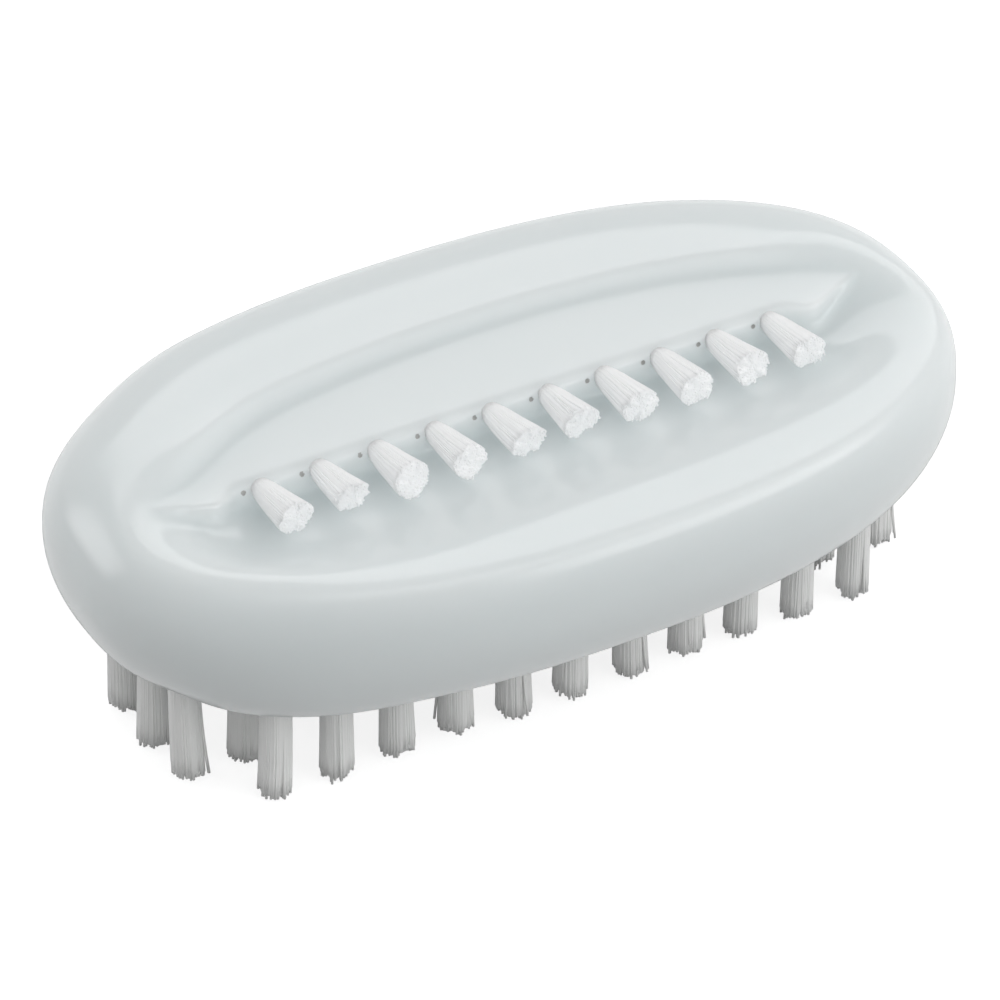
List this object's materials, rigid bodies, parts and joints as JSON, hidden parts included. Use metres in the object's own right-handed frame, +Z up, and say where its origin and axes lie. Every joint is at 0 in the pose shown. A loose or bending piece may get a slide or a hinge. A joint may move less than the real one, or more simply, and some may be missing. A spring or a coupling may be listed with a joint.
{
  "type": "nail brush",
  "caption": "Oval nail brush: a moulded block with bristle tufts under it and a row of short tufts in the finger recess on top for cleaning under nails.",
  "frame": {"origin": "on the surface that the brush stands on, under the middle of the block", "axes": "+X along the block, -Y to the front where the short tufts point, +Z up out of the block's top"},
  "size_m": [0.0874, 0.0494, 0.0285],
  "materials": {
    "block": "glossy",
    "bristles": "matte",
    "anchors": "brushed"
  },
  "bodies": {
    "root": {"body": "block", "bristles_lower_row_1": "bristles", "bristles_lower_row_2": "bristles", "bristles_lower_row_3": "bristles", "bristles_lower_row_4": "bristles", "bristles_lower_row_5": "bristles", "bristles_upper_row": "bristles", "anchors_lower_row_1": "anchors", "anchors_lower_row_2": "anchors", "anchors_lower_row_3": "anchors", "anchors_lower_row_4": "anchors", "anchors_lower_row_5": "anchors", "anchors_upper_row": "anchors"}
  },
  "joints": []
}
